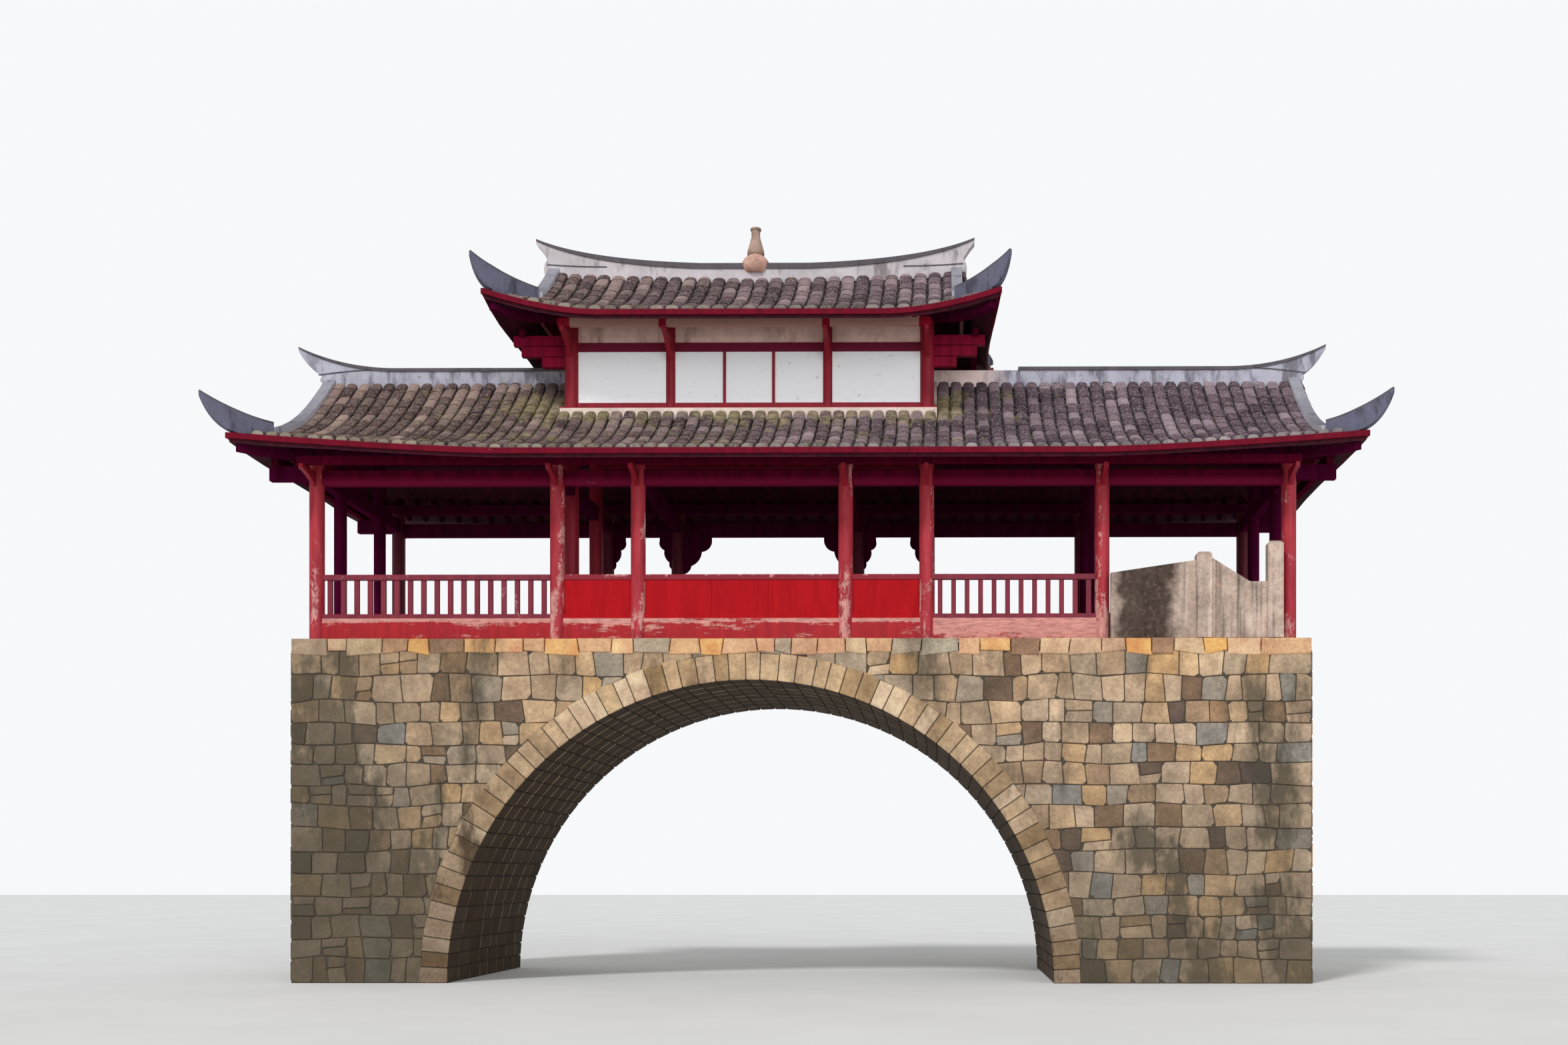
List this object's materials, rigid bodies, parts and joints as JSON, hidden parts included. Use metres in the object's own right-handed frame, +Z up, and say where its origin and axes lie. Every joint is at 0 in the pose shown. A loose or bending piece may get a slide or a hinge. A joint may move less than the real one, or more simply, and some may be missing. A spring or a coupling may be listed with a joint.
{
  "type": "pavilion bridge",
  "caption": "Stone arch bridge carrying a red timber gallery under a long tiled hip-and-gable roof, with a raised middle tower.",
  "frame": {"origin": "on the ground at the foot of the walls, under the middle of the gallery roof", "axes": "+X along the bridge to the end with the stone slab parapet, +Y across it to the rear, +Z up"},
  "size_m": [17.8824, 5.97, 12.6],
  "materials": {
    "arch_stone": "rough cut",
    "rubble_stone": "rough rubble",
    "coping_stone": "rough cut",
    "paving_stone": "worn",
    "slab_stone": "weathered",
    "red_paint": "weathered paint",
    "dark_red_paint": "old paint",
    "roof_tile": "matt fired clay",
    "white_plaster": "weathered limewash",
    "dark_coping": "matt",
    "terracotta": "matt",
    "white_panel": "satin paint",
    "cream_panel": "stained limewash"
  },
  "bodies": {
    "root": {"arch_barrel": "arch_stone", "left_abutment": "rubble_stone", "right_abutment": "rubble_stone", "front_coping": "coping_stone", "rear_coping": "coping_stone", "deck_paving": "paving_stone", "slab_posts": "slab_stone", "slab_parapets": "slab_stone", "front_posts": "red_paint", "rear_posts": "red_paint", "inner_posts": "dark_red_paint", "sills": "red_paint", "front_boarding": "red_paint", "rear_boarding": "red_paint", "front_balustrades": "red_paint", "rear_balustrades": "red_paint", "front_tie_beam": "red_paint", "rear_tie_beam": "dark_red_paint", "cross_beams": "dark_red_paint", "purlins": "dark_red_paint", "rear_brackets": "dark_red_paint", "eave_purlins": "dark_red_paint", "corbels": "red_paint", "corner_beams": "dark_red_paint", "lower_roof_front": "roof_tile", "lower_roof_rear": "roof_tile", "upper_roof_front": "roof_tile", "upper_roof_rear": "roof_tile", "lower_roof_ends": "roof_tile", "upper_roof_ends": "roof_tile", "long_fascia": "red_paint", "end_fascia": "red_paint", "gables": "red_paint", "lower_ridge": "white_plaster", "upper_ridge": "white_plaster", "ridge_copings": "dark_coping", "slope_ridges": "white_plaster", "hip_ridges": "white_plaster", "finial": "terracotta", "tower_posts": "red_paint", "tower_studs": "red_paint", "tower_beams": "dark_red_paint", "tower_kerb": "white_plaster", "tower_rails": "red_paint", "tower_panels": "white_panel", "tower_frieze": "cream_panel"}
  },
  "joints": []
}
